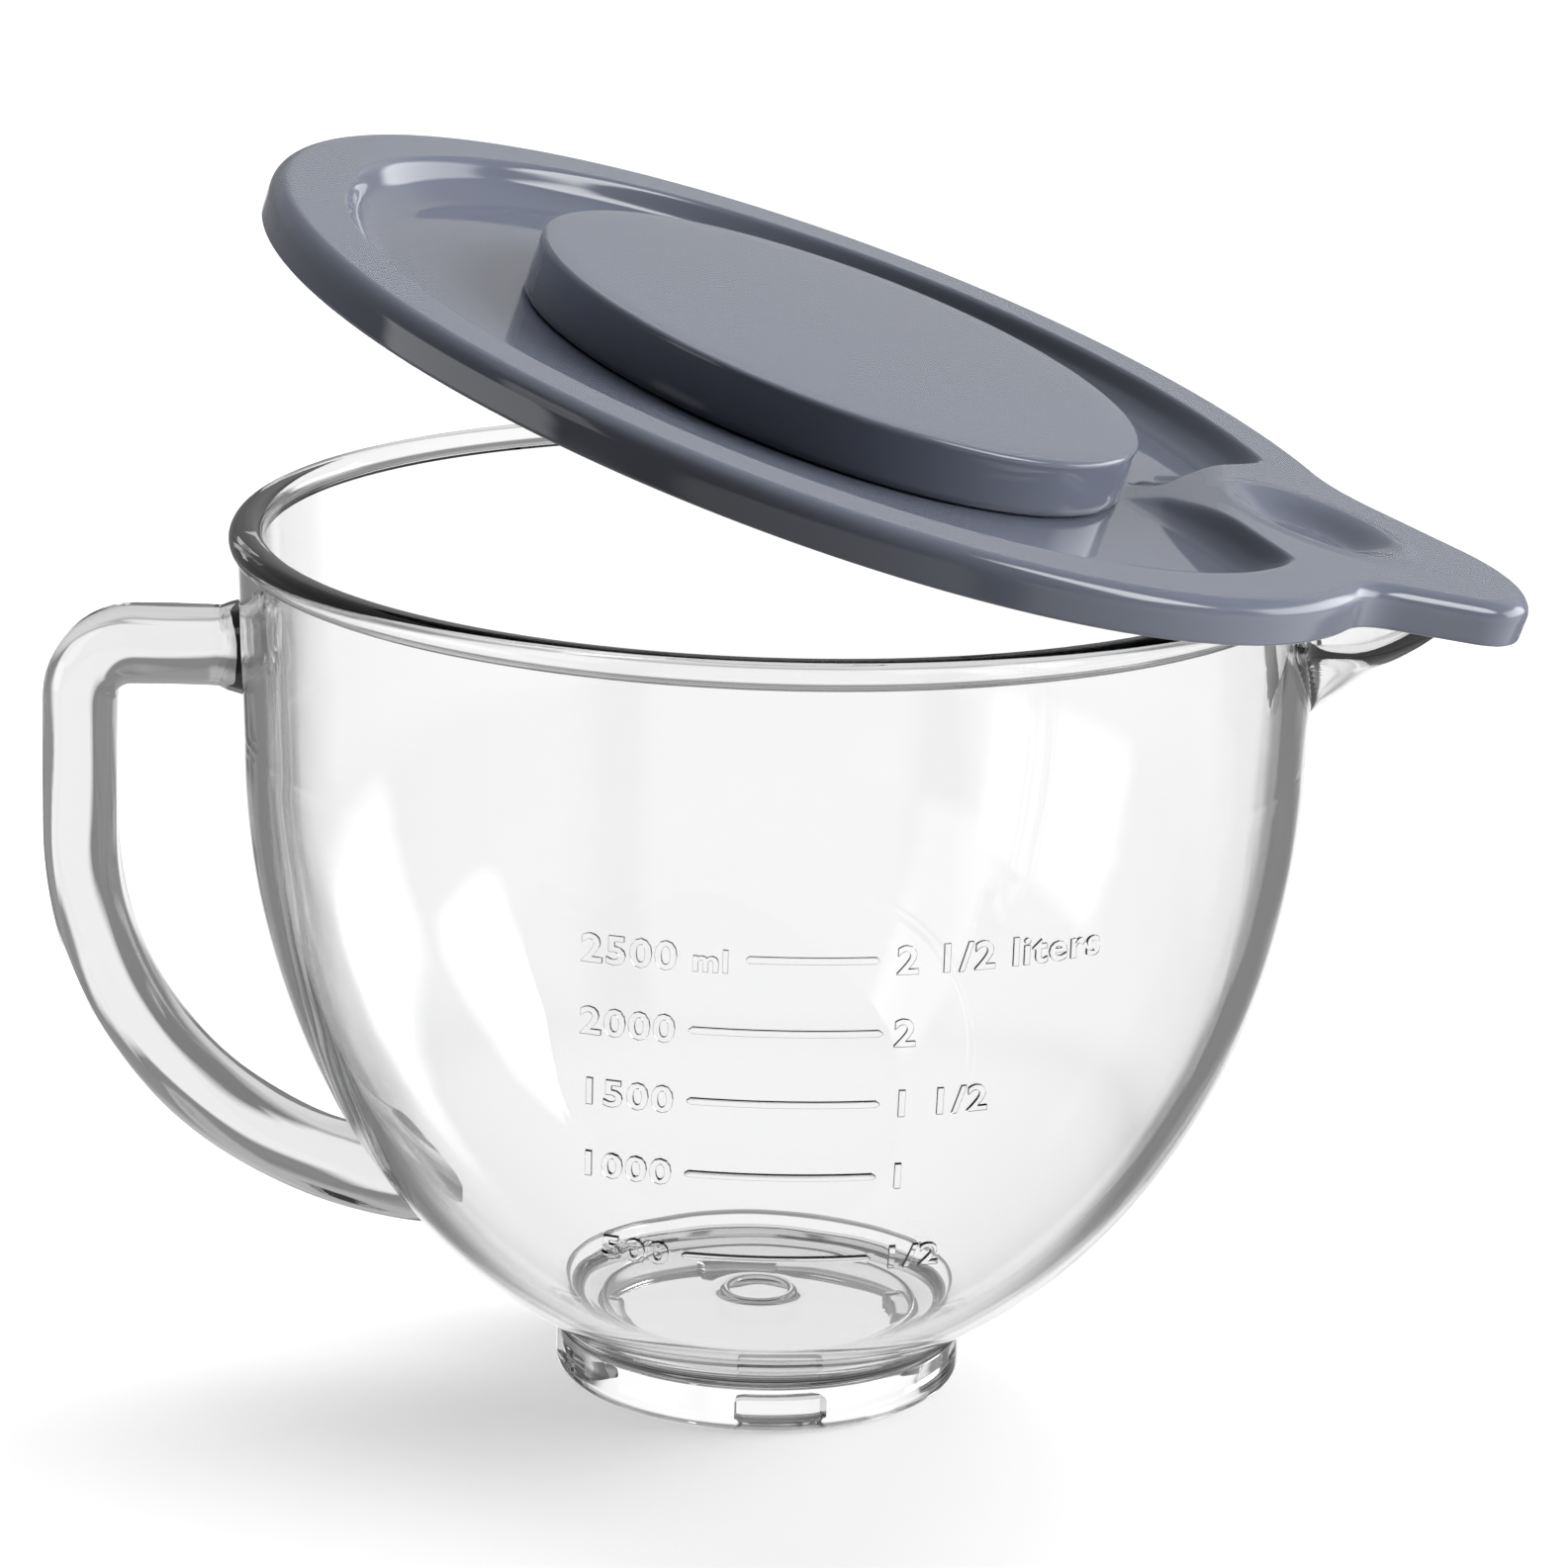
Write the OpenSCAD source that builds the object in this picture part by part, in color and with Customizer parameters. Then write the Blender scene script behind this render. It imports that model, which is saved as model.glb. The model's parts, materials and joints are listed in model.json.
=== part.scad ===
// Glass mixing bowl with a fused handle, a pouring spout and a loose plastic lid.
// Origin: centre of the foot, on the surface it stands on. +Z up, spout towards +X, handle towards -X.

/* [Bowl] */
// Outer diameter of the glass wall at its widest curve
bowl_d = 222; // [200:1:230]
// Height of the rim above the surface the bowl stands on
bowl_h = 184.6; // [180:0.2:190]
// Thickness of the glass wall
wall = 5.5; // [4.5:0.1:6]
// How far the top of the wall flares outwards
flare = 1.6; // [1:0.1:2]
// Radius of the rolled bead around the rim
bead_r = 2.95; // [2.5:0.05:3.2]
// Height of the floor inside the bowl
floor_z = 16; // [14:0.5:18]

/* [Foot] */
// Outer diameter of the foot ring
foot_d = 86.4; // [82:0.2:90]
// Thickness of the foot ring
foot_wall = 8.2; // [7:0.1:9]
// Depth of the hollow under the floor
recess_h = 9; // [8:0.5:10]
// Number of bayonet lugs inside the foot ring
lug_count = 4; // [2:1:5]

/* [Spout] */
// Reach of the spout's tip from the bowl's axis
spout_reach = 143; // [138:1:144]
// Slope of the spout's underside, in degrees above level
spout_slope = 35.6; // [34:0.2:38]

/* [Handle] */
// Thickness of the glass bar, seen from the side
bar_t = 15.6; // [14:0.2:17]
// Width of the glass bar, seen from behind
bar_w = 20; // [18:0.5:22]
// Distance from the bowl's axis to the middle of the upright grip
grip_x = 145.4; // [143:0.2:148]
// Height of the upper arm's middle
arm_z = 156.8; // [155:0.2:158]

/* [Lid] */
// Diameter of the lid over its skirt
lid_d = 242; // [240:0.5:244]
// Thickness of the lid's plastic
lid_t = 2.6; // [2.2:0.1:2.8]
// Height of the lid's outer skirt
skirt_h = 9; // [8:0.2:9.4]
// Diameter of the lid's plug, which drops into the mouth of the bowl
plug_d = 208; // [205:0.5:209.5]
// Depth of the pan in the top of the lid
pan_h = 7.2; // [6.8:0.1:7.6]
// Diameter of the knob cap
cap_d = 130.4; // [124:0.4:134]
// Thickness of the knob cap
cap_h = 12.4; // [11:0.2:12.6]
// Angle at which the lid stands open
lid_tilt = 18; // [0:0.5:18]

/* [Scale] */
// How far the scale's lines stand out of the glass
line_proud = 0.6; // [0.4:0.1:1]
// Height of each line
line_h = 1.2; // [0.8:0.1:2]

/* [Hidden] */
$fn = 128;
eps = 0.01;
glass = [0.86, 0.90, 0.92, 0.45];
plastic = [0.54, 0.56, 0.62];

// Glass wall: a half ellipse below the widest circle, and a slightly flared band above it
bowl_r = bowl_d / 2;
waist_z = 140;
dome_h = 137.8;
arc_steps = 36;
halvings = 24;
bead_z = bowl_h - bead_r;
flare_r = bowl_r + flare;
bead_c = flare_r - 1.1;
lip_round = 2.4;

// Foot. Its ring starts as a plain tube that reaches foot_stock_h, before the wall is cut from it
foot_r = foot_d / 2;
foot_in_r = foot_r - foot_wall;
foot_round = 3;
foot_in_round = 1.5;
foot_stock_h = 23;
lug_depth = 5;
lug_angle = 30;
lug_h = 5;
lug_z = 1;
lug_turn = 7;

// Spout: a V-shaped channel with straight converging sides and a round tip
spout_side = 30;
spout_tip_r = 20;
spout_wall = 4.5;
spout_root_z = 144.4;
spout_root_x = 106;
spout_back_x = 85;
spout_cone_h = 60;
lip_gap = 0.6;
lip_tilt = 18;
lip_cut = 120;

// Handle: centre of the big lower bend, and how far the arm's stock reaches into the wall
bend_c = [-68, 118];
bend_angle = 98;
arm_root = 20;
bend_r = grip_x + bend_c[0];
corner_r = 11;
bar_round = 5;
collar_t = 3.4;
collar_rim = 1.6;
collar_root = 10;

// Lid: every height is measured from the lid's own top plane
lid_r = lid_d / 2;
plug_r = plug_d / 2;
edge_h = 1;
edge_inset = 1.5;
seat_gap = 0.3;
lid_top_z = bowl_h + seat_gap + lid_t;
beak_reach = 155;
beak_side = 30;
beak_tip_r = 25;
notch_r = 8;
pan_round = 3;
seam_h = 0.4;
cap_bottom = seam_h - pan_h;
cap_top = cap_bottom + cap_h;
cap_gap = 0.8;
pan_ends = 23;
tongue_start_r = 74;
tongue_side = 1.5;
tongue_t = 4;
dimple_x = 105;
dimple_r = 18;
dimple_h = 3.6;
dimple_t = lid_t - 0.4;
dimple_ball = (dimple_r * dimple_r + dimple_h * dimple_h) / 2 / dimple_h;
clip_count = 4;
clip_ring_r = 48;
clip_w = 9;
clip_t = 2;
clip_reach = 2.2;
hook_h = 2.2;
hook_gap = 0.2;
slot_gap = 0.4;

// The line about which the lid rocks, at the root of the spout
hinge_p = [113.4, 0, 173];
hinge_turn = 8;
hinge_axis = [sin(hinge_turn), cos(hinge_turn), 0];

// Volume scale: height and length of each line, lowest first
scale_lines = [[55.2, 38], [76.2, 38], [93.3, 38], [109, 38], [124.5, 26]];

// ---------------------------------------------------------------- outlines

// Points of an arc about c, from angle a to angle b
function arc(c, r, a, b, n) =
    [for (i = [0 : n]) let (t = a + (b - a) * i / n) c + r * [cos(t), sin(t)]];

// A point of the wall's lower curve, t degrees from the bottom, moved inwards by depth d
function dome(t, d) =
    let (n = [sin(t) / bowl_r, -cos(t) / dome_h])
    [bowl_r * sin(t), waist_z - dome_h * cos(t)] - d * n / norm(n);

// Angle at which the lower curve, moved inwards by d, reaches height z
function dome_angle(z, d, lo = 0, hi = 90, left = halvings) =
    left == 0 ? hi :
    let (mid = (lo + hi) / 2)
    dome(mid, d)[1] < z ? dome_angle(z, d, mid, hi, left - 1) : dome_angle(z, d, lo, mid, left - 1);

function dome_curve(z, d) =
    let (t0 = dome_angle(z, d))
    [for (i = [0 : arc_steps]) dome(t0 + (90 - t0) * i / arc_steps, d)];

function reversed(p) = [for (i = [len(p) - 1 : -1 : 0]) p[i]];

// Half section of the outside of the glass, closed along the axis
function outside_section() = concat(
    [[0, recess_h]],
    dome_curve(recess_h, 0),
    arc([bead_c, bead_z], bead_r, -70, 90, 12),
    [[0, bowl_h]]);

// Half section of the space inside the glass
function inside_section() = concat(
    [[0, floor_z]],
    dome_curve(floor_z, wall),
    reversed(arc([flare_r - wall + lip_round, bowl_h - lip_round], lip_round, 90, 180, 6)),
    [[flare_r - wall + lip_round, bowl_h + 1], [0, bowl_h + 1]]);

// One half of a pointed outline around a circle r: the side leans by a and ends in a round tip of
// radius tip_r at distance reach, and a fillet notch joins the side to the circle. All of it inset by d.
function beak_half(r, reach, a, tip_r, notch, d) =
    let (tip_c = [reach - tip_r, 0],
         side = [sin(a), cos(a)],
         along = [cos(a), -sin(a)],
         off = tip_c * side + tip_r + notch,
         notch_c = side * off + along * sqrt(pow(r + notch, 2) - off * off),
         start = atan2(notch_c[1], notch_c[0]))
    concat(
        arc(tip_c, tip_r - d, 0, 90 - a, 10),
        arc(notch_c, notch + d, 270 - a, 180 + start, 6),
        arc([0, 0], r - d, start + 2, 90, 24));

function mirrored(p) = [for (i = [len(p) - 2 : -1 : 1]) [p[i][0], -p[i][1]]];

module lid_outline(d) {
    half = beak_half(lid_r, beak_reach, beak_side, beak_tip_r, notch_r, d);
    polygon(concat(half, mirrored(half)));
    circle(r = lid_r - d);
}

module spout_outline(d) {
    tip_c = [spout_reach - spout_tip_r, 0];
    round_tip = arc(tip_c, spout_tip_r - d, -90 + spout_side, 90 - spout_side, 16);
    root_w = (tip_c[0] - spout_root_x) * tan(spout_side) + (spout_tip_r - d) / cos(spout_side);
    polygon(concat(round_tip, [[spout_root_x, root_w], [0, root_w], [0, -root_w], [spout_root_x, -root_w]]));
}

// Rounded cross-section of the handle's bar, grown by d
module bar_section(d = 0) {
    w = bar_w / 2 + d;
    t = bar_t / 2 + d;
    square([2 * w - 2 * bar_round, 2 * t], center = true);
    square([2 * w, 2 * t - 2 * bar_round], center = true);
    for (x = [-1, 1], y = [-1, 1])
        translate([x * (w - bar_round), y * (t - bar_round)])
            circle(r = bar_round, $fn = 48);
}

// ---------------------------------------------------------------- glass

module glass_outside() rotate_extrude() polygon(outside_section());
module glass_inside() rotate_extrude() polygon(inside_section());

// Everything above the sloping plane on which the open lid's beak rests
module above_lip() {
    at_lid_tilt(lip_tilt)
        translate([lip_cut / 2, -lip_cut / 2, lid_top_z - lid_t - lip_gap])
            cube(lip_cut);
}

// Inverted cone whose flank is the spout's underside, raised by d
module spout_cone(d) {
    translate([spout_root_x, 0, spout_root_z + d])
        cylinder(h = spout_cone_h, r1 = 0, r2 = spout_cone_h / tan(spout_slope));
}

module spout_body(d) {
    intersection() {
        spout_cone(d / cos(spout_slope));
        linear_extrude(height = bowl_h) spout_outline(d);
    }
}

module glass_bowl() color(glass) {
    difference() {
        union() {
            glass_outside();
            spout_body(0);
        }
        above_lip();
        mirror([0, 1, 0]) above_lip();
        glass_inside();
        intersection() {
            translate([0, 0, eps]) spout_body(spout_wall);
            translate([spout_back_x, -bowl_r, 0]) cube([bowl_r, bowl_d, bowl_h - 1]);
        }
        translate([0, 0, bowl_h - 1 - eps])
            linear_extrude(height = 2) intersection() {
                spout_outline(spout_wall);
                translate([spout_back_x, -bowl_r]) square([bowl_r, bowl_d]);
            }
    }
}

module glass_foot() color(glass) difference() {
    rotate_extrude() polygon(concat(
        arc([foot_in_r + foot_in_round, foot_in_round], foot_in_round, 180, 270, 6),
        arc([foot_r - foot_round, foot_round], foot_round, 270, 360, 6),
        [[foot_r, foot_stock_h], [foot_in_r, foot_stock_h]]));
    glass_outside();
}

module foot_lugs() color(glass)
    for (i = [0 : lug_count - 1])
        rotate(i * 360 / lug_count - 90 + lug_turn - lug_angle / 2)
            rotate_extrude(angle = lug_angle)
                translate([foot_in_r - lug_depth, lug_z])
                    square([lug_depth, lug_h]);

// Upper arm, corner, upright grip and big lower bend, all of one bar
module handle_bar(d = 0) {
    arm_inner = grip_x - corner_r;
    corner_z = arm_z - corner_r;
    translate([-arm_inner, 0, arm_z]) rotate([90, 0, 90])
        linear_extrude(height = arm_inner - bowl_r + arm_root) bar_section(d);
    translate([-arm_inner, 0, corner_z]) rotate([90, 0, 0]) rotate(90)
        rotate_extrude(angle = 90) translate([corner_r, 0]) rotate(90) bar_section(d);
    translate([-grip_x, 0, bend_c[1]])
        linear_extrude(height = corner_z - bend_c[1]) rotate(90) bar_section(d);
    translate([bend_c[0], 0, bend_c[1]]) rotate([90, 0, 0]) rotate(180)
        rotate_extrude(angle = bend_angle) translate([bend_r, 0]) rotate(90) bar_section(d);
}

module collar_block() {
    translate([-bowl_r - collar_t, 0, arm_z]) rotate([90, 0, 90])
        linear_extrude(height = collar_t + collar_root) bar_section(collar_rim);
}

module glass_handle() color(glass) difference() {
    handle_bar();
    glass_outside();
    collar_block();
}

module handle_collar() color(glass) difference() {
    collar_block();
    glass_outside();
}

module volume_lines() color(glass) difference() {
    for (line = scale_lines) {
        r = dome(dome_angle(line[0], 0), 0)[0];
        half = line[1] / 2 / r * 180 / PI;
        rotate(-90 - half)
            rotate_extrude(angle = 2 * half)
                translate([r - 2, line[0] - line_h / 2]) square([2 + line_proud, line_h]);
    }
    glass_outside();
}

// ---------------------------------------------------------------- lid

// Turns the closed lid up about the line on which it rocks
module at_lid_tilt(angle) {
    translate(hinge_p) rotate(a = angle, v = hinge_axis) translate(-hinge_p) children();
}

// Places a piece drawn about the lid's own centre and top plane
module on_lid() at_lid_tilt(lid_tilt) translate([0, 0, lid_top_z]) children();

// A flat disc or cylinder between two heights
module drum(r, low, high) translate([0, 0, low]) cylinder(h = high - low, r = r);

// The round pan in the top of the lid, left full where the tongue climbs to the beak
module pan() {
    pan_r = plug_r - lid_t;
    corner_c = [pan_r - pan_round, pan_round - pan_h];
    rotate(pan_ends) rotate_extrude(angle = 360 - 2 * pan_ends) polygon(concat(
        [[0, -pan_h]],
        arc(corner_c, pan_round, 270, 360, 6),
        [[pan_r, 1], [0, 1]]));
    drum(cap_d / 2 + cap_gap, -pan_h, 1);
}

// Hollow under the raised tongue that carries the thumb dimple
module under_tongue() {
    rotate(-pan_ends + tongue_side) rotate_extrude(angle = 2 * (pan_ends - tongue_side))
        translate([tongue_start_r, -pan_h - 2 * lid_t])
            square([plug_r - lid_t - tongue_start_r, pan_h + lid_t - tongue_t]);
}

// Shallow ball-shaped thumb dimple in the beak, grown by d
module dimple(d) translate([dimple_x, 0, dimple_ball - dimple_h]) sphere(r = dimple_ball + d);

module lid_shell() color(plastic) on_lid() difference() {
    union() {
        translate([0, 0, -skirt_h]) linear_extrude(height = skirt_h - edge_h) lid_outline(0);
        translate([0, 0, -edge_h - eps]) linear_extrude(height = edge_h + eps) lid_outline(edge_inset);
        drum(plug_r, -pan_h - lid_t, -edge_h);
    }
    // room for the rim and the spout, between skirt and plug
    difference() {
        translate([0, 0, -skirt_h - 1]) linear_extrude(height = skirt_h + 1 - lid_t) lid_outline(lid_t);
        drum(plug_r, -skirt_h - 2, 0);
        dimple(dimple_t);
    }
    pan();
    under_tongue();
    dimple(0);
    clip_slots();
}

module around_clips() for (i = [0 : clip_count - 1]) rotate(45 + i * 360 / clip_count) children();

module clip_slots() around_clips()
    translate([clip_ring_r - slot_gap, -clip_w / 2 - slot_gap, -pan_h - lid_t - 1])
        cube([clip_t + clip_reach + 2 * slot_gap, clip_w + 2 * slot_gap, lid_t + 2]);

module lid_cap() color(plastic) on_lid() {
    r = cap_d / 2;
    rotate_extrude() polygon(concat(
        [[0, cap_top - lid_t], [r - lid_t, cap_top - lid_t], [r - lid_t, cap_bottom], [r, cap_bottom]],
        arc([r - 2, cap_top - 2], 2, 0, 90, 6),
        [[0, cap_top]]));
}

// Hooks that hang from the cap, pass through the pan's floor and catch under it
module cap_clips() color(plastic) on_lid() around_clips() {
    hook_z = -pan_h - lid_t - hook_gap;
    translate([clip_ring_r, clip_w / 2, 0]) rotate([90, 0, 0])
        linear_extrude(height = clip_w) polygon([
            [0, cap_top - lid_t], [clip_t, cap_top - lid_t], [clip_t, hook_z],
            [clip_t + clip_reach, hook_z], [clip_t, hook_z - hook_h], [0, hook_z - hook_h]]);
}

glass_bowl();
glass_foot();
foot_lugs();
glass_handle();
handle_collar();
volume_lines();
lid_shell();
lid_cap();
cap_clips();
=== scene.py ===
"""Glass mixing bowl with a rocking plastic lid: the looks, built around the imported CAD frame.

Shapes are worked out in millimetres in the frame's own axes (+Z up, spout towards +X, handle
towards -X) and turned to metres when a mesh is made.
"""

import json
import math

import bmesh
import bpy
from mathutils import Matrix, Vector


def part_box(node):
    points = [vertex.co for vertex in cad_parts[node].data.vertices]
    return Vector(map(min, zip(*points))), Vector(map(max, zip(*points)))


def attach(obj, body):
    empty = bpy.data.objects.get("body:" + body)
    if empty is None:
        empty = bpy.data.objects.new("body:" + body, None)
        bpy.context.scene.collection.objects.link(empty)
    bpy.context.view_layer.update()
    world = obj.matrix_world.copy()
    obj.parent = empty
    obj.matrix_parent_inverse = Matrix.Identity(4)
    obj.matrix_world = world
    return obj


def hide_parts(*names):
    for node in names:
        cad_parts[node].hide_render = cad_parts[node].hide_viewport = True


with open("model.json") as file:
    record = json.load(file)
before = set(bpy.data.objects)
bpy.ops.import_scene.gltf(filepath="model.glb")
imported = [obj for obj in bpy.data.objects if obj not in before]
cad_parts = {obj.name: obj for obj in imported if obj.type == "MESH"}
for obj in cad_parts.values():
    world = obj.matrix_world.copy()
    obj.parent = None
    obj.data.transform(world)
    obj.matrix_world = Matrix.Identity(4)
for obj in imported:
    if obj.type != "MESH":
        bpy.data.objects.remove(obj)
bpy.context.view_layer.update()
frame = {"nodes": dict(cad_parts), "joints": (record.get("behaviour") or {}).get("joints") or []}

MM = 0.001

# ---------------------------------------------------------------- sizes, in millimetres

# Read from the frame
FOOT_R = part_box("glass_foot")[1].x / MM
lid_joint = next(joint for joint in frame["joints"] if joint["name"] == "lid_tilt")
HINGE = Vector(lid_joint["pos_m"])
HINGE_AXIS = Vector(lid_joint["axis"]).normalized()
LID_OPEN = math.radians(-lid_joint["range_deg"][0])

# Bowl: half an ellipse, BOWL_R by DOME_H, up to the waist, and a slight flare above it
RIM_Z = 184.6
BOWL_R = 111.0
WAIST_Z = 140.0
DOME_H = 137.8
FLARE = 1.6
WALL = 5.5
WALL_FOOT_Z = 14.6
FLOOR_Z = 16.0
RECESS_H = 9.0
RECESS_R = 1.5
BEAD_R = 2.95
BEAD_SUNK = 1.1
NECK_Z = RIM_Z - 2 * BEAD_R
LIP_R = 2.4
FOOT_IN_R = 35.0
FOOT_EDGE_R = 3.4
FOOT_FILLET_R = 2.2
FLOOR_FILLET_R = 6.2
PUNT_R = 7.2
CENTRE_R = 0.02

# Bayonet lugs inside the foot
LUG_IN_R = 30.0
LUG_W = 5.6
LUG_Z = (1.0, 6.0)
LUG_HALF = math.radians(15)
LUG_TURN = math.radians(7)

# Spout
SPOUT_TIP = 143.0
SPOUT_TIP_R = 20.0
SPOUT_SIDE = math.radians(30)
SPOUT_HALF = math.radians(32)
SPOUT_ROOT_R = 106.0
SPOUT_ROOT_Z = 144.4
SPOUT_RISE = math.tan(math.radians(35.6))
SPOUT_WALL = 4.5
SPOUT_BLEND = 3.0
SPOUT_CORNER = 5.0
LIP_GAP = 0.6
LIP_CORNER = 1.5
BEAD_FADE = (math.radians(15), math.radians(22))

# Handle
GRIP_X = 145.2
ARM_Z = 156.8
ROOT_X = 104.0
BEND_X = 68.0
BEND_Z = 118.0
BEND_TURN = 100.0
CORNER_R = 11.0
BAR_T = 15.6
BAR_W = 20.0
HANDLE_WAVE = 0.02
COLLAR_X = 1.9
COLLAR_W = 1.5
COLLAR_H = 1.5

# Scale
LINE_T = 1.5
PROUD = 0.55
LETTER_H = 8.2
SMALL_LETTER_H = 6.4
LETTER_BEVEL = 0.07
LETTER_GROWTH = 0.14
LETTER_SPREAD = 1.1
LEFT_LABEL_END = -20.4
RIGHT_LABEL_START = 22.4

# Lid, measured from its own centre and top plane
LID_R = 121.0
LID_T = 2.6
LID_GAP = 0.3
LID_TOP_Z = RIM_Z + LID_GAP + LID_T
SKIRT_H = 9.0
EDGE_R = 3.8
PAN_H = 7.2
PAN_R = 106.3
PAN_COVE = 13.0
TONGUE_X = 74.0
TONGUE_HALF = 3.6
TONGUE_SPREAD = 1.36
TONGUE_COVE = 17.0
TONGUE_CLIMB = (64.0, 88.0)
DIMPLE_X = 106.0
DIMPLE_RX = 19.0
DIMPLE_RY = 17.5
DIMPLE_H = 3.8
DROP_START = (75.5, 18.5)
DROP_WAY = (0.44, 0.9)
DROP_LENGTH = 12.0
DROP_HALF = 1.9
DROP_H = 0.7
BEAK_REACH = 155.0
BEAK_TIP_R = 25.0
BEAK_SIDE = math.radians(30)
NOTCH_SOFT = 7.0
CAP_R = 65.2
CAP_H = 12.4
SEAM_H = 0.4
CAP_BOTTOM = SEAM_H - PAN_H
CAP_TOP = CAP_BOTTOM + CAP_H
CAP_EDGE_R = 1.2
CAP_CROWN = 0.35
SHEET_R = CAP_R - 3

# ---------------------------------------------------------------- small helpers


def smooth(low, high, x):
    """0 below low, 1 above high, and an S-curve between; low may be the larger."""
    t = min(1.0, max(0.0, (x - low) / (high - low)))
    return t * t * (3 - 2 * t)


def soft_max(a, b, k):
    """The larger of a and b, with the corner between them rounded over a width k."""
    h = max(k - abs(a - b), 0.0) / k
    return max(a, b) + h * h * k / 4


def soft_min(a, b, k):
    return -soft_max(-a, -b, k)


def lerp(a, b, t):
    return a + (b - a) * t


def arc(centre, radius, start, end, count):
    """Points of an arc, with its angles in degrees."""
    angles = [math.radians(lerp(start, end, i / count)) for i in range(count + 1)]
    return [(centre[0] + radius * math.cos(a), centre[1] + radius * math.sin(a)) for a in angles]


def azimuths(fine, coarse, window):
    """Angles once around, closer together within window degrees of the spout."""
    near = [lerp(-window, window, i / fine) for i in range(fine)]
    far = [lerp(window, 360 - window, i / coarse) for i in range(coarse)]
    return [math.remainder(math.radians(a), math.tau) for a in near + far]


def mesh_object(name, points, faces):
    """An object from points in millimetres."""
    mesh = bpy.data.meshes.new(name)
    mesh.from_pydata([(x * MM, y * MM, z * MM) for x, y, z in points], [], faces)
    mesh.validate()
    obj = bpy.data.objects.new(name, mesh)
    bpy.context.scene.collection.objects.link(obj)
    return obj


def grid_faces(rows, columns):
    """Quads of a grid whose rows close on themselves."""
    return [
        (
            i * columns + j,
            i * columns + (j + 1) % columns,
            (i + 1) * columns + (j + 1) % columns,
            (i + 1) * columns + j,
        )
        for i in range(rows - 1)
        for j in range(columns)
    ]


def clean(obj, distance=0.002):
    """Joins points that lie together and points every face outwards."""
    work = bmesh.new()
    work.from_mesh(obj.data)
    bmesh.ops.remove_doubles(work, verts=work.verts, dist=distance * MM)
    bmesh.ops.dissolve_degenerate(work, edges=work.edges, dist=distance * MM / 2)
    bmesh.ops.recalc_face_normals(work, faces=work.faces)
    work.to_mesh(obj.data)
    work.free()
    return obj


def tube(name, rings, distance=0.002):
    """A closed mesh from rings of points, each joined to the next, with both ends filled."""
    columns = len(rings[0])
    points = [point for ring in rings for point in ring]
    faces = grid_faces(len(rings), columns)
    faces.append(tuple(range(columns)))
    faces.append(tuple(reversed(range(len(points) - columns, len(points)))))
    return clean(mesh_object(name, points, faces), distance)


def shade(obj, angle):
    """Smooth shading, with edges sharper than the angle kept crisp."""
    for polygon in obj.data.polygons:
        polygon.use_smooth = True
    obj.data.set_sharp_from_angle(angle=math.radians(angle))
    return obj


def joined(base, others):
    """base and each of the others, as one closed mesh."""
    for other in others:
        modifier = base.modifiers.new("joined", "BOOLEAN")
        modifier.solver = "MANIFOLD"
        modifier.operation = "UNION"
        modifier.object = other
    depsgraph = bpy.context.evaluated_depsgraph_get()
    mesh = bpy.data.meshes.new_from_object(base.evaluated_get(depsgraph))
    base.modifiers.clear()
    base.data = mesh
    for other in others:
        bpy.data.objects.remove(other)
    return base


# ---------------------------------------------------------------- glass: the bowl's surface


def dome(t, depth=0.0):
    """A point (radius, height) of the wall's lower curve, t from the bottom, moved in by depth."""
    across, up = math.sin(t) / BOWL_R, -math.cos(t) / DOME_H
    size = math.hypot(across, up)
    return (
        BOWL_R * math.sin(t) - depth * across / size,
        WAIST_Z - DOME_H * math.cos(t) - depth * up / size,
    )


def dome_angle(z, depth=0.0):
    """The t at which the lower curve reaches a height, found by halving."""
    low, high = 0.0, math.pi / 2
    for _ in range(40):
        middle = (low + high) / 2
        low, high = (middle, high) if dome(middle, depth)[1] < z else (low, middle)
    return high


def wall_radius(z, depth=0.0):
    """Radius of the plain wall at a height, moved inwards by depth."""
    if z < WAIST_Z:
        return dome(dome_angle(z, depth), depth)[0]
    return BOWL_R - depth + FLARE * (z - WAIST_Z) / (NECK_Z - WAIST_Z)


def pointed_outline(angle, tip, tip_r, side):
    """Distance from the axis to a pointed outline with straight sides and a round tip."""
    a = abs(angle)
    centre = tip - tip_r
    across = centre * math.sin(a)
    if across < tip_r:
        distance = centre * math.cos(a) + math.sqrt(tip_r**2 - across**2)
        if distance * math.sin(a) <= tip_r * math.cos(side):
            return distance
    return (centre * math.sin(side) + tip_r) / math.sin(side + a)


def spout_radius(angle, z, depth):
    """Distance from the axis to the spout's surface, a cone standing on its root; 0 away from it."""
    if abs(angle) > SPOUT_HALF:
        return 0.0
    rise = depth * math.hypot(1, SPOUT_RISE)
    reach = (z - SPOUT_ROOT_Z - rise) / SPOUT_RISE
    across = SPOUT_ROOT_R * math.sin(angle)
    spread = reach * abs(reach) - across**2
    flank = SPOUT_ROOT_R * math.cos(angle) + math.copysign(math.sqrt(abs(spread)), spread)
    outline = pointed_outline(angle, SPOUT_TIP - depth, SPOUT_TIP_R - depth, SPOUT_SIDE)
    return soft_min(flank, outline, SPOUT_CORNER)


def lip_plane(x, y):
    """Height of the plane under the open lid's beak, mirrored left and right."""
    across = HINGE_AXIS.y * (x - HINGE.x / MM) + HINGE_AXIS.x * y
    raised = LID_TOP_Z - LID_T - LIP_GAP - HINGE.z / MM
    return HINGE.z / MM + (raised - math.sin(LID_OPEN) * across) / math.cos(LID_OPEN)


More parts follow.
